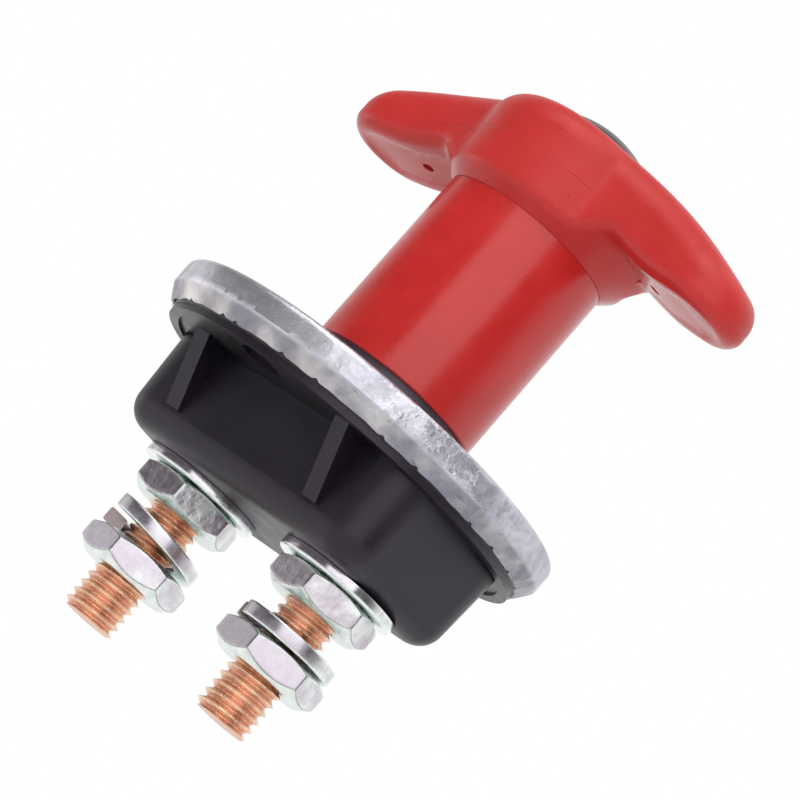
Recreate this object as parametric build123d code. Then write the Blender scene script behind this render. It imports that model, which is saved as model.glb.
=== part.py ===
"""Battery disconnect switch: panel mounted, two copper studs, quarter turn wing handle.

Origin: on the turning axis, on the upper face of the mounting plate, where a panel rests.
+Z points up through the handle, +X runs along the line of the two terminal studs.
"""
from build123d import *
import os

# Fits
RUN = 0.05
GAP = 0.10
LOOSE = 0.35

# Mounting plate: a thin metal cup, crimped over the edge of the housing
PLATE_R = 35.7
PLATE_SHEET = 0.6
PLATE_EDGE_R = 1.1
PLATE_WALL = 4.6
CRIMP_DROP = 2.2
CRIMP_IN = 1.8
SCREW_EDGE = 10.3
SCREW_HOLE_R = 2.8

# Gasket under the plate
GASKET_T = 0.6

# Housing: a moulded cup with a round flange and gusset ribs
BODY_X_SHARE = 0.80
BODY_Y_SHARE = 0.47
BODY_CORNER = 6.5
BODY_DRAFT = 3.5
BODY_WALL = 2.6
BODY_BOTTOM_Z = -23.0
BODY_EDGE_R = 4.2
FLOOR_T = 4.0
FLANGE_UNDER_Z = -7.4
LIP_W = 1.8
LIP_DEPTH = 0.5
SCREW_POCKET_R = 3.5
RIB_FROM_END = 11.96
RIB_T = 3.1
RIB_REACH = 5.4
RIB_FOOT_IN = 0.2
RIB_FOOT_Z = -18.6

# Bush, its nut and its seal
BUSH_SHOULDER_R = 13.6
BUSH_SHOULDER_H = 4.9
BUSH_GUIDE_H = 10.0
BUSH_STEM_R = 9.0
BUSH_EDGE = 0.6
BUSH_NUT_AF = 22.0
BUSH_NUT_T = 2.4
SEAL_SECTION_R = 0.9
SEAL_Z = 8.0

# Spindle and what it carries inside
SPINDLE_R = 5.0
SPINDLE_FLAT = 3.8
SPINDLE_FLAT_L = 15.0
SPINDLE_BELOW_BRIDGE = 1.2
CLIP_T = 0.9
CLIP_W = 2.6
CLIP_GROOVE = 0.8
THRUST_T = 0.8
THRUST_W = 2.8
SPRING_WIRE_R = 0.7
SPRING_TURNS = 3
CARRIER_NECK_R = 8.0
CARRIER_IN = 0.6
CARRIER_T = 3.6
CARRIER_NECK_H = 6.0
PIN_R = 1.5
PIN_TRAVEL = 0.8
BRIDGE_SWING_GAP = 2.2
BRIDGE_W = 9.0
BRIDGE_T = 2.6
BRIDGE_SEAT = 1.5
BRIDGE_EDGE = 0.4
PIP_R = 2.2

# Terminal studs
STUD_FROM_END = 11.76
STUD_R = 4.7
STUD_LENGTH = 27.0
STUD_CHAMFER = 0.6
STUD_RELIEF = 0.25
STUD_RELIEF_W = 0.5
HEAD_T = 3.0
HEAD_W = 11.6
HEAD_INNER_X = 7.5
HEAD_OUTER = 5.6
HEAD_CORNER = 1.5

# Terminal fasteners
WASHER_R = 10.4
WASHER_T = 1.65
WASHER_EDGE = 0.25
NUT_AF = 16.2
NUT_T = 5.0
NUT_FACE_R = 7.3
NUT_CHAMFER = 1.15
LOCK_R = 8.4
LOCK_W = 3.3
LOCK_T = 2.35
LOCK_SPLIT = 14.0
LOCK_SPLIT_AT = 232.0
LOCK_TILT_AT = -47.0
OUTER_NUT_Z = {"left": -36.95, "right": -36.45}
OUTER_NUT_TURN = {"left": -43.5, "right": -43.1}
INNER_NUT_TURN = {"left": -31.3, "right": -40.6}
LOCK_RISE = {"left": 2.9, "right": 0.5}
LOCK_TILT = {"left": 3.2, "right": 0.0}

# Sleeve: the tube that the handle turns on
SLEEVE_R = 14.55
SLEEVE_WALL = 1.45
SLEEVE_TOP_Z = 36.3
SLEEVE_EDGE = 0.3

# Handle
HUB_OUT = 2.45
HUB_TOP_Z = 54.5
DOME_R = 91.0
WING_ROOT_Y = 11.0
WING_ROOT_IN = 6.0
WING_ROOT_SLOPE = -0.3
WING_WAIST_OUT = 7.0
WING_WAIST_Y = 8.5
WING_REACH = 25.6
WING_END_R = 8.5
RIM_LINE = ((1.0, 1.5), (6.0, 2.8), (11.0, 3.9), (17.0, 4.5), (23.0, 4.8), (28.0, 5.1))
FLOOR_LINE = ((1.0, 1.4), (6.0, 2.4), (11.0, 3.0), (17.0, 3.2), (28.0, 3.4))
DISH_EDGE_W = 2.5
DISH_DRAFT = 38.0
HUB_CREASE_R = 4.0
FLARE_SLOPE = 0.935
FLARE_OUT = 4.4
CROWN_R = 4.7
RIM_EDGE_R = 2.4
SPIGOT_L = 9.0
SPIGOT_WALL = 2.2
SOCKET_BOSS_R = 8.4
RELIEF_H = 5.0
SOCKET_TOP_Z = 43.6
SCREW_SEAT_Z = 45.4
SCREW_WELL_R = 6.8
CAP_SEAT_Z = 50.6
PIN_MARK_OUT = 9.1
PIN_MARK_R = 1.0
PIN_MARK_DEPTH = 1.2

# Cap
CAP_R = 9.15
CAP_EDGE_Z = 54.8
CAP_TOP_Z = 57.5
CAP_SKIRT_W = 1.5
CAP_DOME_T = 1.4

# Handle screw
SCREW_R = 2.5
SCREW_HEAD_R = 4.3
SCREW_HEAD_H = 3.4
SCREW_WASHER_R = 6.2
SCREW_WASHER_T = 1.0
SCREW_IN_SPINDLE = 14.0
SCREW_DRIVE_AF = 4.0
SCREW_DRIVE_DEPTH = 2.0

# Places that follow from the sizes above
UNDER_PLATE_Z = -PLATE_SHEET
FLANGE_TOP_Z = UNDER_PLATE_Z - GASKET_T
LIP_Z = FLANGE_UNDER_Z - LIP_DEPTH
BODY_X = PLATE_R * BODY_X_SHARE
BODY_Y = PLATE_R * BODY_Y_SHARE
FLOOR_Z = BODY_BOTTOM_Z + FLOOR_T
HEAD_TOP_Z = FLOOR_Z + HEAD_T
CAVITY_X = BODY_X - BODY_WALL
CAVITY_Y = BODY_Y - BODY_WALL
CAVITY_CORNER = BODY_CORNER - BODY_WALL
RIB_X = BODY_X - RIB_FROM_END
RIB_OUT_Y = BODY_Y + RIB_REACH
RIB_FOOT_Y = BODY_Y - RIB_FOOT_IN
BRIDGE_REACH = CAVITY_Y - BRIDGE_SWING_GAP
CARRIER_R = BRIDGE_REACH - CARRIER_IN
BUSH_NUT_Z = UNDER_PLATE_Z - BUSH_NUT_T
THRUST_Z = BUSH_NUT_Z - RUN - THRUST_T
CLIP_Z = BUSH_NUT_Z - GAP - CLIP_T
BRIDGE_Z = HEAD_TOP_Z + GAP
CARRIER_Z = BRIDGE_Z + BRIDGE_T - BRIDGE_SEAT
CARRIER_SHELF_Z = CARRIER_Z + CARRIER_T
CARRIER_TOP_Z = CARRIER_SHELF_Z + CARRIER_NECK_H
SPINDLE_FOOT_Z = BRIDGE_Z + BRIDGE_T + SPINDLE_BELOW_BRIDGE
SPINDLE_TOP_Z = SOCKET_TOP_Z - GAP
SLEEVE_BORE_R = SLEEVE_R - SLEEVE_WALL
SLEEVE_Z = BUSH_SHOULDER_H + LOOSE
BUSH_GUIDE_R = SLEEVE_BORE_R - LOOSE
SPIGOT_Z = SLEEVE_TOP_Z - SPIGOT_L
SOCKET_FOOT_Z = SPINDLE_TOP_Z - SPINDLE_FLAT_L + GAP
WASHER_Z = BODY_BOTTOM_Z - WASHER_T
INNER_NUT_Z = WASHER_Z
STUD_FOOT_Z = BODY_BOTTOM_Z - STUD_LENGTH
THREAD_BORE_R = STUD_R + RUN
STUD_X = {"left": STUD_FROM_END - BODY_X, "right": BODY_X - STUD_FROM_END}
SCREW_Y = PLATE_R - SCREW_EDGE
HUB_R = SLEEVE_R + HUB_OUT
FLARE_R = HUB_R + FLARE_OUT
FLARE_TOP_Z = SLEEVE_TOP_Z + (FLARE_R - SLEEVE_R - GAP) * FLARE_SLOPE
WING_END_X = HUB_R + WING_REACH - WING_END_R
PIN_MARK_X = HUB_R + PIN_MARK_OUT
PIN_Z = (SPINDLE_FOOT_Z + CARRIER_TOP_Z) / 2


def tube(outer, inner, z, height):
    """A plain ring: outer and inner radius, lower face and height."""
    ring = Circle(outer) - Circle(inner)
    return extrude(Plane.XY.offset(z) * ring, height)


def rod(radius, z, height, x=0, y=0):
    """A round bar or a round hole along Z."""
    return extrude(Plane.XY.offset(z) * Pos(x, y) * Circle(radius), height)


def turned(points):
    """A body turned about the axis from the half section (radius, height)."""
    return revolve(Plane.XZ * make_face(Polyline(*points, close=True)), Axis.Z)


def mounting_plate():
    """Pressed sheet cup with a rolled-in edge, a centre hole and two screw holes."""
    foot_r = PLATE_R - CRIMP_IN
    foot_z = -PLATE_WALL - CRIMP_DROP
    hole_r = BUSH_STEM_R + RUN
    cup = turned((
        (hole_r, 0), (PLATE_R, 0), (PLATE_R, -PLATE_WALL), (foot_r, foot_z),
        (foot_r - PLATE_SHEET, foot_z), (PLATE_R - PLATE_SHEET, -PLATE_WALL),
        (PLATE_R - PLATE_SHEET, UNDER_PLATE_Z), (hole_r, UNDER_PLATE_Z)))
    rim = cup.faces().sort_by(Axis.Z)[-1].edges().sort_by(SortBy.LENGTH)[-1]
    cup = fillet(rim, PLATE_EDGE_R)
    for y in (-SCREW_Y, SCREW_Y):
        cup -= rod(SCREW_HOLE_R, UNDER_PLATE_Z, PLATE_SHEET, 0, y)
    return cup


def gasket():
    """Flat sealing ring between the plate and the housing flange."""
    sheet = Circle(PLATE_R - PLATE_SHEET - GAP)
    sheet -= RectangleRounded(2 * CAVITY_X, 2 * CAVITY_Y, CAVITY_CORNER)
    for y in (-SCREW_Y, SCREW_Y):
        sheet -= Pos(0, y) * Circle(SCREW_POCKET_R)
    return extrude(Plane.XY.offset(FLANGE_TOP_Z) * sheet, GASKET_T)


def gusset(side_x, side_y):
    """One triangular rib from the flange down to the foot of the long wall."""
    inner_y = CAVITY_Y + BODY_WALL / 2
    bury_z = FLANGE_UNDER_Z + BODY_WALL / 2
    face = make_face(Polyline(
        (inner_y, bury_z), (RIB_OUT_Y, bury_z), (RIB_OUT_Y, FLANGE_UNDER_Z),
        (RIB_FOOT_Y, RIB_FOOT_Z), (inner_y, RIB_FOOT_Z), close=True))
    rib = extrude(Plane.YZ.offset(-RIB_T / 2) * face, RIB_T)
    if side_y < 0:
        rib = mirror(rib, Plane.XZ)
    return Pos(side_x * RIB_X, 0, 0) * rib


def housing():
    """Moulded cup: round flange held in the crimp, rounded box below, gussets on both long sides."""
    flange_r = PLATE_R - PLATE_SHEET - GAP
    foot_r = flange_r - CRIMP_IN
    foot_z = -PLATE_WALL - CRIMP_DROP
    shell = turned((
        (0, FLANGE_TOP_Z), (flange_r, FLANGE_TOP_Z), (flange_r, -PLATE_WALL), (foot_r, foot_z),
        (foot_r, LIP_Z), (foot_r - LIP_W, LIP_Z), (foot_r - LIP_W, FLANGE_UNDER_Z),
        (0, FLANGE_UNDER_Z)))
    mouth = Plane(origin=(0, 0, FLANGE_UNDER_Z), z_dir=(0, 0, -1))
    box = extrude(mouth * RectangleRounded(2 * BODY_X, 2 * BODY_Y, BODY_CORNER),
                  FLANGE_UNDER_Z - BODY_BOTTOM_Z, taper=BODY_DRAFT)
    box = fillet(box.faces().sort_by(Axis.Z)[0].edges(), BODY_EDGE_R)
    shell += box
    for side_x in (-1, 1):
        for side_y in (-1, 1):
            shell += gusset(side_x, side_y)
    cavity = Plane(origin=(0, 0, FLANGE_TOP_Z), z_dir=(0, 0, -1))
    shell -= extrude(cavity * RectangleRounded(2 * CAVITY_X, 2 * CAVITY_Y, CAVITY_CORNER),
                     FLANGE_TOP_Z - FLOOR_Z, taper=BODY_DRAFT)
    for x in STUD_X.values():
        shell -= rod(STUD_R + GAP, BODY_BOTTOM_Z, FLOOR_T, x)
    for y in (-SCREW_Y, SCREW_Y):
        shell -= rod(SCREW_POCKET_R, FLANGE_UNDER_Z, FLANGE_TOP_Z - FLANGE_UNDER_Z, 0, y)
    return shell


def bush():
    """Guide bush: shoulder above the plate, stem through it, guide for the sleeve on top."""
    body = rod(BUSH_SHOULDER_R, 0, BUSH_SHOULDER_H)
    body += rod(BUSH_GUIDE_R, BUSH_SHOULDER_H, BUSH_GUIDE_H)
    body += rod(BUSH_STEM_R, BUSH_NUT_Z, -BUSH_NUT_Z)
    body = chamfer(body.faces().sort_by(Axis.Z)[-1].edges(), BUSH_EDGE)
    body -= rod(SPINDLE_R + RUN, BUSH_NUT_Z, BUSH_SHOULDER_H + BUSH_GUIDE_H - BUSH_NUT_Z)
    groove_r = SPINDLE_R + 2 * RUN + 2 * SEAL_SECTION_R
    body -= rod(groove_r, SEAL_Z - SEAL_SECTION_R - RUN, 2 * (SEAL_SECTION_R + RUN))
    return body


def bush_nut():
    """Thin hexagon nut that clamps the bush to the plate from inside."""
    side = RegularPolygon(BUSH_NUT_AF / 2, 6, major_radius=False) - Circle(BUSH_STEM_R + RUN)
    return extrude(Plane.XY.offset(BUSH_NUT_Z) * side, BUSH_NUT_T)


def spindle_seal():
    """Round section ring in the groove of the bush."""
    return Pos(0, 0, SEAL_Z) * Torus(SPINDLE_R + RUN + SEAL_SECTION_R, SEAL_SECTION_R)


def cross_bar(radius, length, travel=0.0):
    """A bar across the axis at the height of the drive pin, or the slot that it can rise in."""
    section = Circle(radius) + Pos(0, travel) * Circle(radius)
    if travel > 0:
        section += Pos(0, travel / 2) * Rectangle(2 * radius, travel)
    return extrude(Plane.XZ.offset(-length / 2) * Pos(0, PIN_Z) * section, length)


def spindle():
    """Turned shaft with two flats for the handle, a clip groove, a pin hole and a tapped end."""
    shaft = rod(SPINDLE_R, SPINDLE_FOOT_Z, SPINDLE_TOP_Z - SPINDLE_FOOT_Z)
    flats = Box(2 * SPINDLE_R, 4 * SPINDLE_R, SPINDLE_FLAT_L) - Box(2 * SPINDLE_R, 2 * SPINDLE_FLAT, SPINDLE_FLAT_L)
    shaft -= Pos(0, 0, SPINDLE_TOP_Z - SPINDLE_FLAT_L / 2) * flats
    shaft -= tube(2 * SPINDLE_R, SPINDLE_R - CLIP_GROOVE, CLIP_Z, CLIP_T)
    shaft -= cross_bar(PIN_R, 2 * SPINDLE_R)
    shaft -= rod(SCREW_R, SPINDLE_TOP_Z - SCREW_IN_SPINDLE, SCREW_IN_SPINDLE)
    return shaft


def drive_pin():
    """Cross pin that turns the carrier with the spindle."""
    return cross_bar(PIN_R, 2 * CARRIER_NECK_R - 2 * GAP)


def spindle_clip():
    """Open retaining clip in the spindle groove, under the bush."""
    inner = SPINDLE_R - CLIP_GROOVE
    ring = Circle(inner + CLIP_W) - Circle(inner)
    ring -= Pos(inner + CLIP_W, 0) * Rectangle(2 * (inner + CLIP_W), inner)
    return extrude(Plane.XY.offset(CLIP_Z) * ring, CLIP_T)


def thrust_washer():
    """Flat ring that the spring turns on."""
    inner = CARRIER_NECK_R + 2 * GAP
    return tube(inner + THRUST_W, inner, THRUST_Z, THRUST_T)


def contact_spring():
    """Compression coil between the carrier and the thrust washer."""
    low = CARRIER_SHELF_Z + SPRING_WIRE_R
    high = THRUST_Z - SPRING_WIRE_R
    path = Helix((high - low) / SPRING_TURNS, high - low, CARRIER_NECK_R + 2 * GAP + SPRING_WIRE_R)
    wire = Plane(path @ 0, z_dir=path % 0) * Circle(SPRING_WIRE_R)
    return Pos(0, 0, low) * sweep(wire, path, is_frenet=True)


def contact_carrier():
    """Insulating rotor: neck round the spindle, disc with a slot that seats the bridge."""
    body = rod(CARRIER_R, CARRIER_Z, CARRIER_T)
    body += rod(CARRIER_NECK_R, CARRIER_Z, CARRIER_TOP_Z - CARRIER_Z)
    body -= rod(SPINDLE_R + RUN, SPINDLE_FOOT_Z - GAP, CARRIER_TOP_Z - SPINDLE_FOOT_Z + GAP)
    body -= Pos(0, 0, CARRIER_Z + BRIDGE_SEAT / 2) * Box(2 * CARRIER_R, BRIDGE_W + 2 * RUN, BRIDGE_SEAT)
    body += rod(PIP_R, BRIDGE_Z + GAP, BRIDGE_T)
    body -= cross_bar(PIN_R + RUN, 4 * CARRIER_NECK_R, PIN_TRAVEL)
    return body


def contact_bridge():
    """Copper bar with rounded ends that joins the stud heads when it lies along X."""
    bar = Rectangle(2 * BRIDGE_REACH, BRIDGE_W) & Circle(BRIDGE_REACH)
    bar -= Circle(PIP_R + RUN)
    solid = extrude(Plane.XY.offset(BRIDGE_Z) * bar, BRIDGE_T)
    return chamfer(solid.faces().sort_by(Axis.Z)[0].outer_wire().edges(), BRIDGE_EDGE)


def stud(name):
    """Terminal stud: forged flat head inside, threaded shank out through the floor."""
    side = 1 if STUD_X[name] > 0 else -1
    shank = rod(STUD_R, STUD_FOOT_Z, FLOOR_Z - STUD_FOOT_Z)
    shank = chamfer(shank.faces().sort_by(Axis.Z)[0].edges(), STUD_CHAMFER)
    relief_z = OUTER_NUT_Z[name] - NUT_T - RUN
    shank -= tube(2 * STUD_R, STUD_R - STUD_RELIEF, relief_z, STUD_RELIEF_W)
    outer = abs(STUD_X[name]) + HEAD_OUTER
    head = Pos(side * (HEAD_INNER_X + outer) / 2, 0) * RectangleRounded(
        outer - HEAD_INNER_X, HEAD_W, HEAD_CORNER)
    return Pos(STUD_X[name], 0, 0) * shank + extrude(Plane.XY.offset(FLOOR_Z) * head, HEAD_T)


def flat_washer(name):
    """Plain washer under the first nut."""
    ring = tube(WASHER_R, THREAD_BORE_R, WASHER_Z, WASHER_T)
    outer = ring.faces().sort_by(Axis.Z)[0].edges().sort_by(SortBy.LENGTH)[-1]
    return Pos(STUD_X[name], 0, 0) * chamfer(outer, WASHER_EDGE)


def hex_nut(name, top_z, turn):
    """Thin hexagon nut, its corners turned off on both faces; turn is the azimuth of one flat."""
    flat_to_x = 30
    hexagon = Rot(0, 0, turn + flat_to_x) * RegularPolygon(NUT_AF / 2, 6, major_radius=False)
    nut = extrude(Plane.XY.offset(top_z - NUT_T) * hexagon, NUT_T)
    corner_r = NUT_AF / 3 ** 0.5
    low = top_z - NUT_T
    nut &= turned(((0, low), (NUT_FACE_R, low), (corner_r, low + NUT_CHAMFER),
                   (corner_r, top_z - NUT_CHAMFER), (NUT_FACE_R, top_z), (0, top_z)))
    nut -= rod(THREAD_BORE_R, low, NUT_T)
    return Pos(STUD_X[name], 0, 0) * nut


def lock_washer(name):
    """Split ring, sprung open by its rise and tipped on the thread; it lies on the outer nut."""
    rise = LOCK_RISE[name]
    arc = 360 - LOCK_SPLIT
    path = Helix(rise * 360 / arc, rise, LOCK_R - LOCK_W / 2, lefthand=True)
    wire = Plane(path @ 0, x_dir=(1, 0, 0), z_dir=path % 0) * Rectangle(LOCK_W, LOCK_T)
    ring = Rot(0, 0, LOCK_SPLIT_AT - LOCK_SPLIT / 2) * sweep(wire, path, is_frenet=True)
    ring = Rot(0, 0, LOCK_TILT_AT) * Rot(-LOCK_TILT[name], 0, 0) * Rot(0, 0, -LOCK_TILT_AT) * ring
    lift = OUTER_NUT_Z[name] - ring.bounding_box().min.Z
    return Pos(STUD_X[name], 0, lift) * ring


def sleeve():
    """Straight tube that hangs from the handle and runs over the bush."""
    pipe = tube(SLEEVE_R, SLEEVE_BORE_R, SLEEVE_Z, SLEEVE_TOP_Z - SLEEVE_Z)
    return chamfer(pipe.faces().sort_by(Axis.Z)[0].edges(), SLEEVE_EDGE)


def wing_plan(inset=0.0):
    """Plan of one wing: a waisted arm out of the hub's middle, with a round end."""
    root = (HUB_R - WING_ROOT_IN, WING_ROOT_Y - inset)
    waist = (HUB_R + WING_WAIST_OUT, WING_WAIST_Y - inset)
    end = (WING_END_X, WING_END_R - inset)
    flank = Spline(root, waist, end, tangents=((1, WING_ROOT_SLOPE), (1, 0)))
    half = make_face([Line((0, 0), (WING_END_X, 0)), Line((WING_END_X, 0), end), flank,
                      Line(root, (0, root[1])), Line((0, root[1]), (0, 0))])
    return half + mirror(half, Plane.XZ) + Pos(WING_END_X, 0) * Circle(WING_END_R - inset)


def below(line):
    """All below a line in the side view of both wings: (distance from the hub, drop from the flare's top)."""
    wing = [(HUB_R + out, FLARE_TOP_Z - drop) for out, drop in line]
    whole = [(-x, z) for x, z in reversed(wing)] + [(0, FLARE_TOP_Z)] + wing
    rest = Polyline(whole[-1], (whole[-1][0], 0), (whole[0][0], 0), whole[0])
    return extrude(Plane.XZ.offset(-2 * HUB_R) * make_face([Spline(*whole), rest]), 4 * HUB_R)


def grip_block():
    """Hub and wings under one wide dome, with the crown rounded all the way round."""
    high = CAP_TOP_Z - SLEEVE_TOP_Z
    block = rod(HUB_R, SLEEVE_TOP_Z, high)
    for turn in (0, 180):
        block += Rot(0, 0, turn) * extrude(Plane.XY.offset(SLEEVE_TOP_Z) * wing_plan(), high)
    crease = block.edges().filter_by(
        lambda e: abs((e % 0.5).Z) > 0.99 and abs(Vector((e @ 0).X, (e @ 0).Y).length - HUB_R) < RUN)
    block = fillet(crease, HUB_CREASE_R)
    block &= Pos(0, 0, HUB_TOP_Z - DOME_R) * Rot(90, 0, 0) * Sphere(DOME_R)
    crown = block.faces().filter_by(GeomType.SPHERE)[0]
    return fillet(crown.edges(), CROWN_R)


def handle():
    """Moulded wing handle: hub, drooping hollow-backed wings, spigot, spindle socket and cap well."""
    flare_foot_r = SLEEVE_R + GAP
    core = turned(((0, SLEEVE_TOP_Z), (flare_foot_r, SLEEVE_TOP_Z), (FLARE_R, FLARE_TOP_Z),
                   (FLARE_R, CAP_TOP_Z), (0, CAP_TOP_Z)))
    grip = grip_block() - (below(RIM_LINE) - core)
    low = grip.faces().filter_by(lambda f: f.normal_at().Z < -0.5 and f.center().Z > SLEEVE_TOP_Z + GAP)
    rims = [e for e in low.edges() if (e @ 0.5).Z > SLEEVE_TOP_Z + GAP and e.geom_type != GeomType.LINE]
    grip = fillet(rims, RIM_EDGE_R)
    depth = RIM_LINE[-1][1]
    pad = extrude(Plane.XY.offset(FLARE_TOP_Z - depth) * wing_plan(DISH_EDGE_W), depth, taper=DISH_DRAFT)
    grip -= (below(FLOOR_LINE) & (pad + Rot(0, 0, 180) * pad)) - core
    for side in (-1, 1):
        mark_z = FLARE_TOP_Z - FLOOR_LINE[2][1] + PIN_MARK_DEPTH
        grip -= rod(PIN_MARK_R, SLEEVE_TOP_Z, mark_z - SLEEVE_TOP_Z, side * PIN_MARK_X)
    grip += tube(SLEEVE_BORE_R - RUN, SLEEVE_BORE_R - RUN - SPIGOT_WALL, SPIGOT_Z, SPIGOT_L)
    relief_r = SLEEVE_BORE_R - RUN - SPIGOT_WALL
    grip -= tube(relief_r, SOCKET_BOSS_R, SLEEVE_TOP_Z, RELIEF_H)
    grip += rod(SOCKET_BOSS_R, SOCKET_FOOT_Z, SLEEVE_TOP_Z - SOCKET_FOOT_Z)
    socket = Circle(SPINDLE_R + RUN) & Rectangle(4 * SPINDLE_R, 2 * (SPINDLE_FLAT + RUN))
    grip -= extrude(Plane.XY.offset(SOCKET_FOOT_Z) * socket, SOCKET_TOP_Z - SOCKET_FOOT_Z)
    grip -= rod(SCREW_R + LOOSE, SOCKET_TOP_Z, SCREW_SEAT_Z - SOCKET_TOP_Z)
    grip -= rod(SCREW_WELL_R, SCREW_SEAT_Z, CAP_SEAT_Z - SCREW_SEAT_Z)
    grip -= rod(CAP_R + GAP, CAP_SEAT_Z, CAP_TOP_Z - CAP_SEAT_Z)
    return grip


def handle_cap():
    """Domed plug with a skirt that stands in the well of the hub."""
    half = CAP_R
    rise = CAP_TOP_Z - CAP_EDGE_Z
    dome_r = (half ** 2 + rise ** 2) / (2 * rise)
    plug = rod(CAP_R, CAP_SEAT_Z, CAP_TOP_Z - CAP_SEAT_Z)
    plug &= Pos(0, 0, CAP_TOP_Z - dome_r) * Sphere(dome_r)
    hollow = rod(CAP_R - CAP_SKIRT_W, CAP_SEAT_Z, CAP_TOP_Z - CAP_SEAT_Z)
    hollow &= Pos(0, 0, CAP_TOP_Z - dome_r) * Sphere(dome_r - CAP_DOME_T)
    return plug - hollow


def handle_screw_washer():
    """Plain washer under the handle screw's head."""
    return tube(SCREW_WASHER_R, SCREW_R + LOOSE, SCREW_SEAT_Z, SCREW_WASHER_T)


def handle_screw():
    """Cap screw down into the spindle's tapped end, with a hexagon recess."""
    seat_z = SCREW_SEAT_Z + SCREW_WASHER_T
    foot_z = SPINDLE_TOP_Z - SCREW_IN_SPINDLE + GAP
    screw = rod(SCREW_HEAD_R, seat_z, SCREW_HEAD_H) + rod(SCREW_R - RUN, foot_z, seat_z - foot_z)
    recess = RegularPolygon(SCREW_DRIVE_AF / 2, 6, major_radius=False)
    return screw - extrude(Plane.XY.offset(seat_z + SCREW_HEAD_H - SCREW_DRIVE_DEPTH) * recess, SCREW_DRIVE_DEPTH)


ONE_OF_EACH = (
    handle, handle_cap, handle_screw, handle_screw_washer, sleeve, spindle, drive_pin, bush, bush_nut,
    spindle_seal, spindle_clip, thrust_washer, contact_spring, contact_carrier, contact_bridge,
    mounting_plate, gasket, housing)


def main():
    """Build every piece and write one file for each."""
    os.makedirs("parts", exist_ok=True)
    pieces = {build.__name__: build() for build in ONE_OF_EACH}
    for name in STUD_X:
        pieces["stud_" + name] = stud(name)
        pieces["flat_washer_" + name] = flat_washer(name)
        pieces["inner_nut_" + name] = hex_nut(name, INNER_NUT_Z, INNER_NUT_TURN[name])
        pieces["lock_washer_" + name] = lock_washer(name)
        pieces["outer_nut_" + name] = hex_nut(name, OUTER_NUT_Z[name], OUTER_NUT_TURN[name])
    for name, shape in pieces.items():
        export_step(shape, f"parts/{name}.step")


main()
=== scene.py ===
import bmesh
import bpy
import numpy as np
from mathutils import Matrix, Quaternion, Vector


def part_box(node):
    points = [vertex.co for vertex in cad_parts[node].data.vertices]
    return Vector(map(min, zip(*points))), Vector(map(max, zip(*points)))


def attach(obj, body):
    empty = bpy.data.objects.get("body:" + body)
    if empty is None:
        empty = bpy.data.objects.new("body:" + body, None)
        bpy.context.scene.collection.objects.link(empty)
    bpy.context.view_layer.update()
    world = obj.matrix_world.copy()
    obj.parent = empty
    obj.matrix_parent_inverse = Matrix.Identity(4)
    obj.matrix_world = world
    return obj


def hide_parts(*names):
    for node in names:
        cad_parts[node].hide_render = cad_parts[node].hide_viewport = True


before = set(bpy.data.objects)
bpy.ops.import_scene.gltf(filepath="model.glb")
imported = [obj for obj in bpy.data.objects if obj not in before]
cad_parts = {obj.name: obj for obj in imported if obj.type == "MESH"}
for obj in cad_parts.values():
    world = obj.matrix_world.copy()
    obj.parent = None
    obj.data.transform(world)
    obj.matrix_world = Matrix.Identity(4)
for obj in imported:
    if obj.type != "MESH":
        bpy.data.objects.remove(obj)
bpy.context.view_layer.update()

# Housing.
# A black moulding of glass-filled nylon: round flange, rounded box and four gusset ribs.
# It is held in the rolled edge of the plate, and its skin is satin with a fine spark-eroded grain.


def join(tree, value, socket):
    """Gives a socket its value, or links it from another socket."""
    if isinstance(value, bpy.types.NodeSocket):
        tree.links.new(value, socket)
    else:
        socket.default_value = value


def add(tree, kind, settings=None, **inputs):
    """Adds one shader node. Its inputs are named with _ for a space, or counted as at0, at1 and so on."""
    made = tree.nodes.new("ShaderNode" + kind)
    for key, value in (settings or {}).items():
        setattr(made, key, value)
    for key, value in inputs.items():
        join(tree, value, made.inputs[int(key[2:]) if key[:2] == "at" else key.replace("_", " ")])
    return made


def feed(tree, node, **results):
    """Links results to a node's named inputs; _ stands for a space."""
    for key, value in results.items():
        tree.links.new(value, node.inputs[key.replace("_", " ")])


def number(tree, operation, *values, clamp=False):
    """The result of one Math node."""
    made = add(tree, "Math", {"operation": operation, "use_clamp": clamp})
    for value, socket in zip(values, made.inputs):
        join(tree, value, socket)
    return made.outputs[0]


def span(tree, value, start, end, low, high, eased=False):
    """Carries start..end over to low..high, straight or with eased ends, and stays level beyond them."""
    settings = {"interpolation_type": "SMOOTHSTEP" if eased else "LINEAR"}
    return add(tree, "MapRange", settings, at0=value, at1=start, at2=end, at3=low, at4=high).outputs[0]


def blend(tree, share, first, second, kind="MIX"):
    """Mixes two colours; a share of 0 is the first."""
    settings = {"data_type": "RGBA", "blend_type": kind}
    return add(tree, "Mix", settings, Factor=share, at6=first, at7=second).outputs[2]


def noise(tree, where, scale, detail, roughness=0.5, **more):
    """The number from one noise texture."""
    made = add(tree, "TexNoise", Vector=where, Scale=scale, Detail=detail, Roughness=roughness, **more)
    return made.outputs[0]


def effect(name, inputs, outputs):
    """A node group with named inputs (name, kind, default) and outputs (name, kind). Returns its tree and
    the tree's two ends."""
    tree = bpy.data.node_groups.new(name, "ShaderNodeTree")
    for label, kind, default in inputs:
        socket = tree.interface.new_socket(label, in_out="INPUT", socket_type="NodeSocket" + kind)
        socket.default_value = default
    for label, kind in outputs:
        tree.interface.new_socket(label, in_out="OUTPUT", socket_type="NodeSocket" + kind)
    return tree, tree.nodes.new("NodeGroupInput"), tree.nodes.new("NodeGroupOutput")


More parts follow.
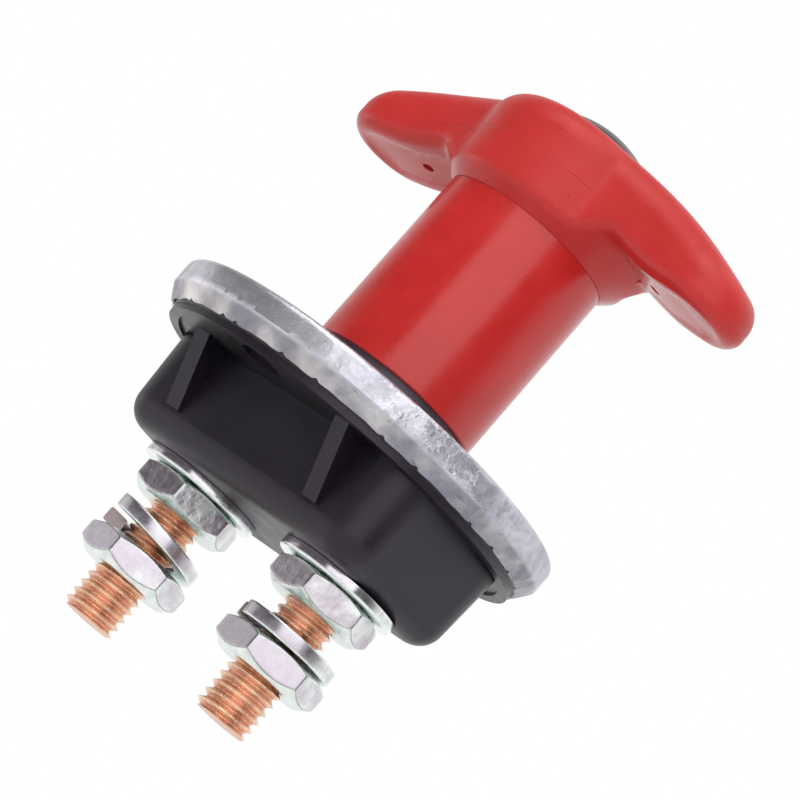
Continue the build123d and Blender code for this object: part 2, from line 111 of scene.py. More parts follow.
def place(tree, group, **inputs):
    """Places a node group in a material with its own values."""
    made = tree.nodes.new("ShaderNodeGroup")
    made.node_tree = group
    for key, value in inputs.items():
        join(tree, value, made.inputs[key.replace("_", " ")])
    return made


def finish_of(name, **sockets):
    """A new material with its Principled shader; constants go straight on the shader's sockets."""
    material = bpy.data.materials.new(name)
    material.use_nodes = True
    shader = material.node_tree.nodes["Principled BSDF"]
    for key, value in sockets.items():
        shader.inputs[key.replace("_", " ")].default_value = value
    return material, material.node_tree, shader


def moulded_skin():
    """Moulded plastic skin: Height is fine grain plus slow waves; Patches and Specks are masks. The grain
    and speck sizes are in millimetres."""
    tree, given, out = effect(
        "moulded_skin",
        [("Grain size", "Float", 0.3), ("Grain depth", "Float", 0.5), ("Speck size", "Float", 0.4)],
        [("Height", "Float"), ("Patches", "Float"), ("Specks", "Float")])
    where = add(tree, "TexCoord").outputs["Object"]
    grains_per_metre = number(tree, "DIVIDE", 1000.0, given.outputs["Grain size"])
    grain = noise(tree, where, grains_per_metre, 3.0, 0.6)
    wave = noise(tree, where, 70.0, 2.0)
    deep = number(tree, "MULTIPLY", grain, given.outputs["Grain depth"])
    speck_cells = number(tree, "DIVIDE", 400.0, given.outputs["Speck size"])
    specks = add(tree, "TexVoronoi", {"feature": "F1"}, Vector=where, Scale=speck_cells)
    feed(tree, out, Height=number(tree, "MULTIPLY_ADD", wave, 0.5, deep),
         Patches=noise(tree, where, 140.0, 5.0, 0.6),
         Specks=span(tree, specks.outputs["Distance"], 0.10, 0.04, 0.0, 1.0))
    return tree


SKIN = moulded_skin()


def black_moulding(name, deep, bloomed):
    """Near black nylon: grain, a faint grey bloom in patches, a few pale dust specks."""
    dust = (0.022, 0.021, 0.023, 1)
    material, tree, shader = finish_of(name, IOR=1.46, Specular_Tint=(0.96, 0.88, 1.0, 1))
    skin = place(tree, SKIN, Grain_size=0.22, Grain_depth=0.35, Speck_size=0.5)
    patches = skin.outputs["Patches"]
    tone = blend(tree, span(tree, patches, 0.35, 0.7, 0.0, 1.0), deep, bloomed)
    bump = add(tree, "Bump", Strength=0.25, Distance=0.00012, Height=skin.outputs["Height"])
    feed(tree, shader, Base_Color=blend(tree, skin.outputs["Specks"], tone, dust),
         Roughness=span(tree, patches, 0.3, 0.7, 0.33, 0.45), Normal=bump.outputs[0])
    return material


def dress(node, material):
    """Gives a CAD node its finish."""
    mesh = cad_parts[node].data
    mesh.materials.clear()
    mesh.materials.append(material)


BLACK = black_moulding("black_moulding", (0.0092, 0.0064, 0.0106, 1), (0.0140, 0.0106, 0.0158, 1))
dress("housing", BLACK)

# Mounting plate.
# A pressed cup of bare zinc-coated metal. Its edge is rolled in over the flange by hand tools,
# which leaves a soft bend, a wavy lip, small nicks and tears, and a clouded, flaky coating.

MM = 0.001  # metres in a millimetre
FRONT = -47.06  # azimuth of the side that the camera faces


def solid(name, points, body, nodes, material, crease=40.0, wear_and_edge_shade=None):
    """A closed piece from a lattice of points (rows, columns, 3) in millimetres. Neighbours join into
    quads; points that coincide at seams and poles are merged, and faces are turned outwards. The lattice
    of wear and painted edge shade, 0 to 1, goes into an attribute of the same name."""
    rows, columns = points.shape[:2]
    index = np.arange(rows * columns).reshape(rows, columns)
    quads = np.stack([index[:-1, :-1], index[:-1, 1:], index[1:, 1:], index[1:, :-1]], -1).reshape(-1, 4)
    mesh = bpy.data.meshes.new(name)
    mesh.from_pydata((points.reshape(-1, 3) * MM).tolist(), [], quads.tolist())
    if wear_and_edge_shade is not None:
        attribute = mesh.attributes.new("wear_and_edge_shade", "FLOAT", "POINT")
        attribute.data.foreach_set("value", wear_and_edge_shade.ravel().astype(np.float32))
    shape = bmesh.new()
    shape.from_mesh(mesh)
    bmesh.ops.remove_doubles(shape, verts=shape.verts, dist=1e-7)
    bmesh.ops.dissolve_degenerate(shape, edges=shape.edges, dist=1e-8)
    bmesh.ops.recalc_face_normals(shape, faces=shape.faces)
    shape.to_mesh(mesh)
    shape.free()
    mesh.shade_smooth()
    mesh.set_sharp_from_angle(angle=np.radians(crease))
    mesh.materials.append(material)
    piece = bpy.data.objects.new(name, mesh)
    bpy.context.scene.collection.objects.link(piece)
    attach(piece, body)
    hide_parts(*nodes)
    return piece


def bumps(angle, places, width):
    """Sum of narrow bells exp(-(d / width)^2) at the given azimuths, d in degrees round the circle."""
    away = (angle[..., None] - np.array(places) + 180) % 360 - 180
    return np.exp(-(away / width) ** 2).sum(-1)


def ripples(angle, waves):
    """Sum of amplitude sin(n a + phase) for each (n, amplitude, phase), a in degrees."""
    a = np.radians(angle)
    return sum(size * np.sin(n * a + phase) for n, size, phase in waves)


def crimped_plate():
    """Section of a sheet cup as rows, azimuth as columns. The wall bends in with a soft knee and ends in
    a lip whose radius and height ripple round the rim, with bells where it is nicked or torn."""
    hole, rim, edge, sheet = 9.05, 35.7, 1.1, 0.6
    wall_end, lip_radius, lip_level, lip_lowest = -4.0, 33.75, -6.62, -6.78
    nick_out, nick_up, tear_out, knee = .22, .3, .5, 1.12
    nicks = FRONT + np.array([-79, -66, -49, -44, -27, -16, 5, 16, 37, 48, 61, 74,
                              96, 118, 139, 162, 185, 207, 236, 251])
    tears = FRONT + np.array([-84., -70.])
    a = np.linspace(-180, 180, 1081)
    lip_r = lip_radius + ripples(a, [(3, .05, 1), (11, .05, 2.), (29, .035, .3), (53, .02, 1)])
    lip_r = lip_r + nick_out * bumps(a, nicks, .9) + tear_out * bumps(a, tears, 4.)
    lip_z = lip_level + ripples(a, [(4, .05, 0), (13, .05, 1.), (31, .04, 2.3), (67, .02, .7)])
    lip_z = np.maximum(lip_z + nick_up * bumps(a, nicks, .7), lip_lowest)
    dent = -.03 - .03 * ripples(a, [(9, .5, .4), (23, .4, 1.), (47, .2, 2.)])
    dent = dent - .05 * bumps(a, nicks + 1.5, 1.6)
    quarter = np.linspace(0, 1, 7) * np.pi / 2
    corner = [(rim - edge + edge * np.sin(q), -edge + edge * np.cos(q)) for q in quarter]
    outer = [(hole, 0), (20, 0), (32, 0)] + corner + [(rim, -2.2), (rim, -3.2), (rim, wall_end)]
    rows = [np.stack([r + (dent if z < -.5 else 0 * a), z + 0 * a], -1) for r, z in outer]
    for s in np.linspace(.12, 1, 9):
        r = rim + dent * (1 - s) + (lip_r - rim) * s ** knee
        r = r - .10 * bumps(a, nicks - 1.2, .8) * np.sin(s * np.pi)
        rows.append(np.stack([r, wall_end + (lip_z - wall_end) * s], -1))
    rows.append(np.stack([lip_r - sheet * .5, lip_z - .02], -1))
    rows.append(np.stack([lip_r - sheet * .9, lip_z + .12], -1))
    inner = [(rim - sheet, -4.4), (rim - sheet, -sheet), (20, -sheet), (hole, -sheet), (hole, 0)]
    rows += [np.stack([r + 0 * a, z + 0 * a], -1) for r, z in inner]
    section = np.array(rows)
    angle = np.radians(a)
    return np.stack([section[..., 0] * np.cos(angle), section[..., 0] * np.sin(angle), section[..., 1]], -1)


def vector(tree, operation, *values):
    """The result of one Vector Math node, a number for a dot product or a length."""
    made = add(tree, "VectorMath", {"operation": operation})
    for value, socket in zip(values, made.inputs):
        join(tree, value, socket)
    return made.outputs["Value" if operation in ("DOT_PRODUCT", "LENGTH") else "Vector"]


def ramp(tree, share, first, second, start=0.0, end=1.0):
    """A colour ramp from the first colour at start to the second at end."""
    made = add(tree, "ValToRGB", Fac=share)
    for stop, position, colour in zip(made.color_ramp.elements, (start, end), (first, second)):
        stop.position, stop.color = position, colour
    return made.outputs[0]


def crystals(tree, where, scale, slope):
    """Flat facets: in each Voronoi cell the height is slope (cell colour - 0.5) . (place - cell centre).
    Returns the height and the cell's colour."""
    cells = add(tree, "TexVoronoi", {"feature": "F1"}, Vector=where, Scale=scale, Randomness=1.0)
    lean = vector(tree, "SUBTRACT", cells.outputs["Color"], (.5, .5, .5))
    off = vector(tree, "SUBTRACT", where, cells.outputs["Position"])
    return number(tree, "MULTIPLY", vector(tree, "DOT_PRODUCT", lean, off), slope), cells.outputs["Color"]


def rolled_coating():
    """Cloudy zinc: grey patches, crystal flakes on part of the rim, a rolled lip darkened in patches, a
    painted shade for its dim reflection, and faintly yellow in others, long scuffs and dark nicks."""
    dull_grey, light_grey, nick_grey = (0.47, 0.46, 0.50, 1), (0.74, 0.72, 0.78, 1), (0.16, 0.15, 0.17, 1)
    blue_flake, white_flake = (0.72, 0.74, 0.80, 1), (1, 1, 1, 1)
    lip_painted_shade, lip_bright = (0.55, 0.54, 0.56, 1), (1.0, 0.98, 0.90, 1)
    lip_from, lip_to = -.0040, -.0046
    material, tree, shader = finish_of("rolled_coating", Metallic=1.0)
    where = add(tree, "TexCoord").outputs["Object"]
    cloud = noise(tree, where, 75.0, 7.0, 0.66, Distortion=0.9)
    bend = add(tree, "TexNoise", Vector=where, Scale=520.0, Detail=3.0, Roughness=0.6)
    pull = vector(tree, "MULTIPLY_ADD", bend.outputs["Color"], (.0022, .0022, .0022), where)
    side = vector(tree, "DOT_PRODUCT", where, (27.0, 6.0, 0.0))
    flaked = span(tree, side, 0.05, 0.55, 0.10, 1.0, eased=True)
    large, flake_colour = crystals(tree, pull, 270.0, 0.22)
    small, _ = crystals(tree, pull, 820.0, 0.12)
    tilt = number(tree, "MULTIPLY", number(tree, "ADD", large, small), flaked)
    uneven = number(tree, "MULTIPLY_ADD", cloud, 0.00022, tilt)
    bump = add(tree, "Bump", Strength=1.0, Distance=1.0, Height=uneven)
    grey = ramp(tree, cloud, dull_grey, light_grey, 0.36, 0.62)
    chip = ramp(tree, flake_colour, blue_flake, white_flake)
    shine = blend(tree, flaked, grey, chip, "MULTIPLY")
    height = add(tree, "SeparateXYZ", at0=where).outputs[2]
    rolled = span(tree, height, lip_from, lip_to, 0.0, 1.0, eased=True)
    # The lip below the knee is darkened in noise patches, a painted shade for the dim reflection along the
    # crimp, and faintly yellow in the other patches.
    lip_shade_patches = ramp(tree, noise(tree, where, 95.0, 3.0, 0.55), lip_painted_shade, lip_bright, 0.45, 0.60)
    lip = blend(tree, rolled, shine, lip_shade_patches, "MULTIPLY")
    smear = add(tree, "Mapping", Vector=where, Scale=(1.0, 1.0, 7.0))
    dirt = noise(tree, smear.outputs[0], 260.0, 5.0, 0.7)
    marks = span(tree, dirt, 0.635, 0.68, 0.0, 0.7)
    feed(tree, shader, Base_Color=blend(tree, marks, lip, nick_grey),
         Roughness=span(tree, cloud, 0.3, 0.7, 0.46, 0.34), Normal=bump.outputs[0])
    return material


def bored(piece, radius, places):
    """Cuts round holes through a flat piece with a boolean, then keeps the cut mesh."""
    for x, y in places:
        cutter = bmesh.new()
        bmesh.ops.create_cone(cutter, cap_ends=True, segments=48, depth=10 * MM,
                              radius1=radius * MM, radius2=radius * MM)
        bmesh.ops.translate(cutter, verts=cutter.verts, vec=(x * MM, y * MM, 0))
        mesh = bpy.data.meshes.new("drill")
        cutter.to_mesh(mesh)
        cutter.free()
        drill = bpy.data.objects.new("drill", mesh)
        bpy.context.scene.collection.objects.link(drill)
        cut = piece.modifiers.new("cut", "BOOLEAN")
        cut.operation, cut.solver, cut.object = "DIFFERENCE", "EXACT", drill
        bpy.context.view_layer.update()
        result = bpy.data.meshes.new_from_object(piece.evaluated_get(bpy.context.evaluated_depsgraph_get()))
        piece.modifiers.clear()
        piece.data = result
        bpy.data.objects.remove(drill)


SCREW_HOLE_R, SCREW_AT = 2.8, 25.4
plate = solid("crimped_plate", crimped_plate(), "base", ["mounting_plate"],
              rolled_coating(), 30.0)
bored(plate, SCREW_HOLE_R, [(0, SCREW_AT), (0, -SCREW_AT)])

# Terminal studs.
# Copper, with a rolled 3/8 in 16 thread and a flat head inside the housing.
# The crests are slightly torn. The colour is painted lighter on the crests and darker in the roots: a painted
# highlight and painted shade.

STUD_AT = {"left": -16.8, "right": 16.8}  # x in millimetres
SHANK_TOP, CORE_TOP = -23.5, -19.5
HEAD_HIGH = 3.0


def corners_of(node):
    """A CAD node's lowest and highest corners in millimetres."""
    return [np.array(corner) * 1000 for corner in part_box(node)]


def threaded_shank(x, foot, top, inside, seed):
    """Rows climb the shank, columns go round. The crest lies where z = crest z + pitch (a - crest a) / 360
    + n pitch; the radius falls from crest to root in a V with a flat crest and a flat root, and a ripple
    tears the crest. A bare core goes on up to the head."""
    pitch, crest, root, lead, lead_slope, core = 1.5875, 4.70, 3.86, 4.15, 1.3, 4.5
    crest_z, crest_a, rows_per_pitch = -43.4, 42.94, 28
    crest_flat, flank, root_round, torn = .06, .82, 1.06, .07
    a = np.linspace(0, 360, 121)
    angle = np.radians(a)
    z = np.linspace(foot, top, int((top - foot) / pitch * rows_per_pitch))[:, None]
    turn = ((z - crest_z) / pitch - (a - crest_a) / 360) % 1
    away = 2 * np.minimum(turn, 1 - turn)
    fall = np.clip((away - crest_flat) / flank, 0, 1)
    fall = np.minimum(fall * root_round, 1)
    tear = torn * np.sin(angle * 11 + z * 2.1 + seed) * np.sin(angle * 4 - z * 4.7) * (1 - fall)
    r = crest - (crest - root) * fall - np.abs(tear)
    r = np.minimum(r, lead + (z - foot) * lead_slope)
    face = np.array([0, 1.6, 2.9, 3.6, lead - .12])[:, None]
    neck = np.array([[core, inside], [core, inside + 1e-3], [0, inside + 1e-3]])
    radii = np.vstack([face + 0 * a, r, neck[:, :1] + 0 * a])
    heights = np.vstack([foot + .03 * np.abs(np.sin(face * 3)) + 0 * a, z + 0 * a, neck[:, 1:] + 0 * a])
    return np.stack([x + radii * np.cos(angle), radii * np.sin(angle), heights], -1)


def stud_head(low, high):
    """Rounded block: the outline |u|^8 + |v|^8 = 1 is carried up through eased lower and upper edges,
    given as (share of the half width, share of the half height)."""
    square = 8
    a = np.linspace(0, 2 * np.pi, 97)
    c, s = np.cos(a), np.sin(a)
    grow = (np.abs(c) ** square + np.abs(s) ** square) ** (-1 / square)
    outline = np.stack([c * grow, s * grow], -1)
    middle, half = (low + high) / 2, (high - low) / 2
    levels = np.array([(0, -1), (.93, -1), (.98, -.96), (1, -.8), (1, .8), (.98, .96), (.93, 1), (0, 1)])
    xy = outline[None] * levels[:, 0][:, None, None] * half[:2] + middle[:2]
    z = middle[2] + half[2] * levels[:, 1][:, None] + 0 * a
    return np.dstack([xy, z])


def rolled_copper():
    """Copper: crests painted lighter and roots painted darker by the radius from the stud's axis, a painted
    highlight and painted shade; stains, drawn scratches.
    """
    root_painted_shade, crest_painted_highlight = (0.88, 0.49, 0.34, 1), (1.0, 0.73, 0.55, 1)
    stained, clean = (0.66, 0.52, 0.44, 1), (1, 1, 1, 1)
    material, tree, shader = finish_of("rolled_copper", Metallic=1.0)
    where = add(tree, "TexCoord").outputs["Object"]
    parts = add(tree, "SeparateXYZ", at0=where)
    off = number(tree, "SUBTRACT", number(tree, "ABSOLUTE", parts.outputs[0]), STUD_AT["right"] * MM)
    flat = add(tree, "CombineXYZ", at0=off, at1=parts.outputs[1])
    crest = span(tree, vector(tree, "LENGTH", flat.outputs[0]), 0.0039, 0.0046, 0.0, 1.0)
    blotch = noise(tree, where, 420.0, 4.0, 0.65)
    stretch = add(tree, "Mapping", Vector=where, Scale=(1.0, 1.0, 9.0))
    drawn = noise(tree, stretch.outputs[0], 900.0, 2.0)
    # Painted highlight on the crests and painted shade in the roots, set by the radius from the axis.
    metal = ramp(tree, crest, root_painted_shade, crest_painted_highlight)
    stain = ramp(tree, blotch, stained, clean, 0.35, 0.60)
    bump = add(tree, "Bump", Strength=1.0, Distance=0.00016, Height=drawn)
    feed(tree, shader, Base_Color=blend(tree, 0.6, metal, stain, "MULTIPLY"),
         Roughness=span(tree, blotch, 0.3, 0.7, 0.20, 0.36), Normal=bump.outputs[0])
    return material


COPPER = rolled_copper()
for side, at in STUD_AT.items():
    low, high = corners_of("stud_" + side)
    shank = threaded_shank(at, low[2], SHANK_TOP, CORE_TOP, at)
    solid("thread_" + side, shank, "base", ["stud_" + side], COPPER, 50.0)
    low[2] = high[2] - HEAD_HIGH
    solid("stud_head_" + side, stud_head(low, high), "base", ["stud_" + side], COPPER)
dress("contact_bridge", COPPER)

# Washers and nuts on the studs.
# Bright zinc-plated steel: a plain washer, a thin nut, a split washer and a second nut on each stud.
# The plating's colour is painted by facing: lighter green where faces look up or down, a painted reflection,
# and darker violet where they look aside, a painted shade. The forged flats are uneven.


def plating():
    """Zinc plating: Color is a painted reflection, the lighter green tint, on faces that look up, down or to
    +X +Y, and a painted shade, the darker violet tint, elsewhere, pushed about by slow noise; Roughness and
    Height follow finer noise and pits."""
    tree, given, out = effect(
        "plating",
        [("Green painted reflection", "Color", (0.835, 0.90, 0.873, 1)), ("Violet tint", "Color", (0.57, 0.52, 0.58, 1)),
         ("Dull", "Float", 0.3), ("Pits", "Float", 0.4)],
        [("Color", "Color"), ("Roughness", "Float"), ("Height", "Float")])
    spot = add(tree, "TexCoord")
    where, facing = spot.outputs["Object"], spot.outputs["Normal"]
    slow = noise(tree, where, 130.0, 3.0, 0.6)
    fine = noise(tree, where, 900.0, 3.0, 0.6)
    pits = add(tree, "TexVoronoi", {"feature": "SMOOTH_F1"}, Vector=where, Scale=650.0)
    # Painted light by facing: faces that look up or down get the lighter green, a painted reflection; faces
    # that look aside get the darker violet, a painted shade.
    slope = number(tree, "ABSOLUTE", add(tree, "SeparateXYZ", at0=facing).outputs[2])
    aside = number(tree, "ADD", slope, vector(tree, "DOT_PRODUCT", facing, (0.11, 0.10, 0.0)))
    swing = number(tree, "MULTIPLY_ADD", slow, 0.9, aside)
    painted_light_share = span(tree, swing, 0.85, 0.45, 0.0, 1.0, eased=True)
    painted_light_tint = blend(tree, painted_light_share, given.outputs["Green painted reflection"], given.outputs["Violet tint"])
    stain = span(tree, fine, 0.25, 0.75, 0.80, 1.10)
    shade = add(tree, "VectorMath", {"operation": "SCALE"}, at0=painted_light_tint, Scale=stain)
    rough = number(tree, "MULTIPLY_ADD", fine, 0.22, given.outputs["Dull"])
    feed(tree, out, Color=shade.outputs[0], Roughness=number(tree, "SUBTRACT", rough, 0.11),
         Height=number(tree, "MULTIPLY_ADD", pits.outputs[0], given.outputs["Pits"], fine))
    return tree


PLATING = plating()
VIOLET_PAINTED_SHADE, DARK_VIOLET_PAINTED_SHADE = (0.57, 0.52, 0.58, 1), (0.49, 0.44, 0.49, 1)
BROWN = (0.14, 0.09, 0.075, 1)


def zinc(name, dull, pits, strength, violet_painted_shade=VIOLET_PAINTED_SHADE):
    """Plated steel with its own dullness, pitting and violet painted shade tint, brown where the attribute
    marks wear at cut ends and a painted shade line along nut edges.
    """
    material, tree, shader = finish_of(name, Metallic=1.0)
    coat = place(tree, PLATING, Dull=dull, Pits=pits, Violet_tint=violet_painted_shade)
    wear_and_edge_shade = add(tree, "Attribute", {"attribute_name": "wear_and_edge_shade"})
    scraped_and_edge_shaded = blend(tree, wear_and_edge_shade.outputs["Fac"], coat.outputs["Color"], BROWN)
    bump = add(tree, "Bump", Strength=strength, Distance=0.0001, Height=coat.outputs["Height"])
    feed(tree, shader, Base_Color=scraped_and_edge_shaded, Roughness=coat.outputs["Roughness"], Normal=bump.outputs[0])
    return material


def eased(corners, ease, steps=5):
    """Closed outline with its corners rounded: P + t (u (1-s)^2 + v s^2), u and v the unit ways to the
    neighbours of the corner P."""
    p = np.array(corners, float)
    u, v = np.roll(p, 1, 0) - p, np.roll(p, -1, 0) - p
    long_u, long_v = np.linalg.norm(u, axis=1), np.linalg.norm(v, axis=1)
    t = np.minimum(np.broadcast_to(ease, len(p)), .45 * np.minimum(long_u, long_v))[:, None, None]
    s = np.linspace(0, 1, steps)[None, :, None]
    way_u, way_v = (u / long_u[:, None])[:, None], (v / long_v[:, None])[:, None]
    return (p[:, None] + t * (way_u * (1 - s) ** 2 + way_v * s ** 2)).reshape(-1, 2)


def round_piece(profile, x=0.0, steps=193):
    """A closed half section (radius, height) turned about the upright line through x:
    (x + r cos a, r sin a, z)."""
    a = np.linspace(0, 2 * np.pi, steps)
    section = np.vstack([profile, profile[:1]])
    r, z = section[:, :1], section[:, 1:]
    return np.stack([x + r * np.cos(a), r * np.sin(a), z + 0 * a], -1)


def softer_least(p, q, ease):
    """The smaller of two lengths, rounded where they meet: (p + q - sqrt((p - q)^2 + ease)) / 2."""
    return (p + q - np.sqrt((p - q) ** 2 + ease)) / 2


def thin_nut(x, low, high, turn):
    """Radius at azimuth a and height h: the softer least of the hexagon half / cos(a from the flat) and
    of a cone at each face, blunt below and steep above. Rows follow the closed section: bore, countersink,
    face, cone, flat, and back. Also the lattice for a brown line: a bell where the flat meets the cone, a
    painted shade line along that edge."""
    half, corner, face, bore, countersink, bearing = 8.1, 9.30, 7.45, 4.72, .45, 6.2
    blunt, steep, row_step, edge_shade, edge_shade_width = 1.25, 1.9, .06, .85, .085
    a = np.linspace(0, 360, 361)
    flat = (a - turn + 30) % 60 - 30
    side = softer_least(half / np.cos(np.radians(flat)), corner, .01)
    tall = high - low
    h = np.concatenate([[.03, .1, .2], np.arange(.3, min(2.1, tall / 2 - .05), row_step), [tall / 2]])
    h = np.concatenate([h, tall - h[-2::-1]])[:, None]
    cone = np.minimum(face + blunt * h, face + .1 + steep * (tall - h))
    wall = softer_least(side, cone, .012)
    lower = np.array([(bore, countersink), (bore + countersink, 0), (bearing, 0), (face - .06, 0)])
    upper = np.array([(r, tall - z) for r, z in lower[::-1]])
    r = np.vstack([lower[:, :1] + 0 * a, wall, upper[:, :1] + 0 * a, lower[:1, :1] + 0 * a])
    z = np.vstack([lower[:, 1:] + 0 * a, h + 0 * a, upper[:, 1:] + 0 * a, lower[:1, 1:] + 0 * a])
    # A painted shade line: brown along the edge where each flat meets the cone.
    line = edge_shade * np.exp(-((side - cone) / edge_shade_width) ** 2)
    wear_and_edge_shade = np.zeros_like(r)
    wear_and_edge_shade[len(lower):len(lower) + len(line)] = line
    angle = np.radians(a)
    return np.stack([x + r * np.cos(angle), r * np.sin(angle), low + z], -1), wear_and_edge_shade


def split_washer(x, base, rise, tilt, gap, at):
    """An eased rectangle carried round a left-handed helix from one cut end to the other, then tipped
    about the line towards the front so that its left side stands higher. The cut ends close on their
    middles. Also the worn lattice, which marks the cut ends."""
    middle, wide, thick, edge, cut_wear = 6.75, 3.3, 2.35, .35, .75
    box = [(-wide / 2, -thick / 2), (wide / 2, -thick / 2), (wide / 2, thick / 2), (-wide / 2, thick / 2)]
    section = eased(box, edge)
    section = np.vstack([section, section[:1]])
    s = np.concatenate([[0], np.linspace(0, 1, 121), [1]])
    size = np.ones_like(s)
    size[[0, -1]] = 0
    angle = np.radians(at - gap / 2 - s * (360 - gap))[:, None]
    r = middle + section[None, :, 0] * size[:, None]
    z = section[None, :, 1] * size[:, None] + (rise * s)[:, None] + thick / 2
    ring = np.stack([r * np.cos(angle), r * np.sin(angle), z], -1)
    way = np.radians(round(FRONT))
    across = np.array([-np.sin(way), np.cos(way), 0])
    ring[..., 2] -= (ring @ across) * np.tan(np.radians(tilt))
    ring[..., 2] += base - ring[..., 2].min()
    ring[..., 0] += x
    wear_and_edge_shade = np.zeros(ring.shape[:2])
    wear_and_edge_shade[[0, 1, -2, -1]] = cut_wear
    return ring, wear_and_edge_shade


PLAIN_ZINC = zinc("bright_zinc", 0.28, 0.5, 0.07)
FORGED_ZINC = zinc("forged_zinc", 0.30, 1.0, 0.75, DARK_VIOLET_PAINTED_SHADE)
ROLLED_ZINC = zinc("rolled_zinc", 0.17, 0.2, 0.03)
# Each nut's turn in degrees and its metal, then each split washer's rise in millimetres and tilt in degrees.
NUTS = {"inner_nut_left": (-31.3, FORGED_ZINC), "outer_nut_left": (-43.5, PLAIN_ZINC),
        "inner_nut_right": (-40.6, FORGED_ZINC), "outer_nut_right": (-43.1, PLAIN_ZINC)}
RISE_AND_TILT = {"left": (2.9, 3.2), "right": (0.5, 0.0)}
SPLIT_GAP, SPLIT_AT = 14.0, 232.0
WASHER_BORE_R, WASHER_R = 4.75, 10.38
for side, at in STUD_AT.items():
    low, high = corners_of("flat_washer_" + side)
    box = [(WASHER_BORE_R, low[2]), (WASHER_R, low[2]), (WASHER_R, high[2]), (WASHER_BORE_R, high[2])]
    washer = round_piece(eased(box, (.1, .45, .15, .1)), at)
    solid("plain_washer_" + side, washer, "base", ["flat_washer_" + side], ROLLED_ZINC)
    for nut in ("inner_nut_" + side, "outer_nut_" + side):
        low, high = corners_of(nut)
        turn, metal = NUTS[nut]
        form, edge_shade_line = thin_nut(at, low[2], high[2], turn)
        solid("zinc_" + nut, form, "base", [nut], metal, 25.0, edge_shade_line)
    low, high = corners_of("lock_washer_" + side)
    form, cut_ends = split_washer(at, low[2], *RISE_AND_TILT[side], SPLIT_GAP, SPLIT_AT)
    solid("sprung_washer_" + side, form, "base", ["lock_washer_" + side],
          PLAIN_ZINC, wear_and_edge_shade=cut_ends)

# Bush and what it holds.
# The bush is turned from dark nylon and clamped in the plate; its colour is painted lighter than the
# housing's, painted light for the lit wall it shows. An O-ring sits in its bore, and a gasket of the same
# rubber lies between plate and housing.


def seal_rubber():
    """Dull black rubber: patchy tone, fine grain."""
    material, tree, shader = finish_of("seal_rubber", Roughness=0.7)
    skin = place(tree, SKIN, Grain_size=0.15, Grain_depth=0.6, Speck_size=0.3)
    bump = add(tree, "Bump", Strength=0.3, Distance=0.0001, Height=skin.outputs["Height"])
    feed(tree, shader, Base_Color=span(tree, skin.outputs["Patches"], 0.3, 0.7, 0.012, 0.03),
         Normal=bump.outputs[0])
    return material


RUBBER = seal_rubber()
dress("contact_carrier", BLACK)
# The bush's black is painted lighter than the housing's: painted light, as if its wall were lit.
dress("bush", black_moulding("bush_moulding_painted_light", (0.060, 0.046, 0.058, 1), (0.085, 0.068, 0.082, 1)))
for node in ("gasket", "spindle_seal"):
    dress(node, RUBBER)

# Spindle and the pieces it carries.
# Plated steel: shaft, cross pin, clip, thrust washer, spring, handle screw and its washer, and the
# nut that clamps the bush.

for node in ("spindle", "drive_pin", "spindle_clip", "thrust_washer", "contact_spring", "handle_screw",
             "handle_screw_washer", "bush_nut"):
    dress(node, PLAIN_ZINC)

# Sleeve.
# A straight tube with a glossy red paint: soft long reflections, faint orange peel, a few dust specks.
# It is pressed over the spigot of the handle and turns with it.

SLEEVE_BORE_R, SLEEVE_R, SLEEVE_LOWER = 13.1, 14.55, .35


def red_paint():
    """Glossy red: a base that wavers slightly in depth, fine orange peel, pale specks."""
    deep_red, light_red, dust_red = (0.535, 0.018, 0.016, 1), (0.60, 0.023, 0.020, 1), (0.60, 0.06, 0.055, 1)
    material, tree, shader = finish_of("red_paint", IOR=1.5)
    skin = place(tree, SKIN, Grain_size=0.8, Grain_depth=0.6, Speck_size=0.5)
    patches = skin.outputs["Patches"]
    tone = ramp(tree, patches, deep_red, light_red, 0.3, 0.7)
    bump = add(tree, "Bump", Strength=0.25, Distance=0.0001, Height=skin.outputs["Height"])
    feed(tree, shader, Base_Color=blend(tree, skin.outputs["Specks"], tone, dust_red),
         Roughness=span(tree, patches, 0.3, 0.7, 0.20, 0.27), Normal=bump.outputs[0])
    return material


low, high = corners_of("sleeve")
low[2] -= SLEEVE_LOWER
box = [(SLEEVE_BORE_R, low[2]), (SLEEVE_R, low[2]), (SLEEVE_R, high[2]), (SLEEVE_BORE_R, high[2])]
pipe = round_piece(eased(box, (.3, .3, .1, .1)), steps=257)
solid("red_sleeve", pipe, "turning", ["sleeve"], red_paint())

# Handle.
# One red moulding, satin from its spark-eroded mould, with a parting line round its middle that shows
# in stretches and is painted darker, a painted shade, and a few dark specks. The undersides of the wings are
# smoother and nearly flat.


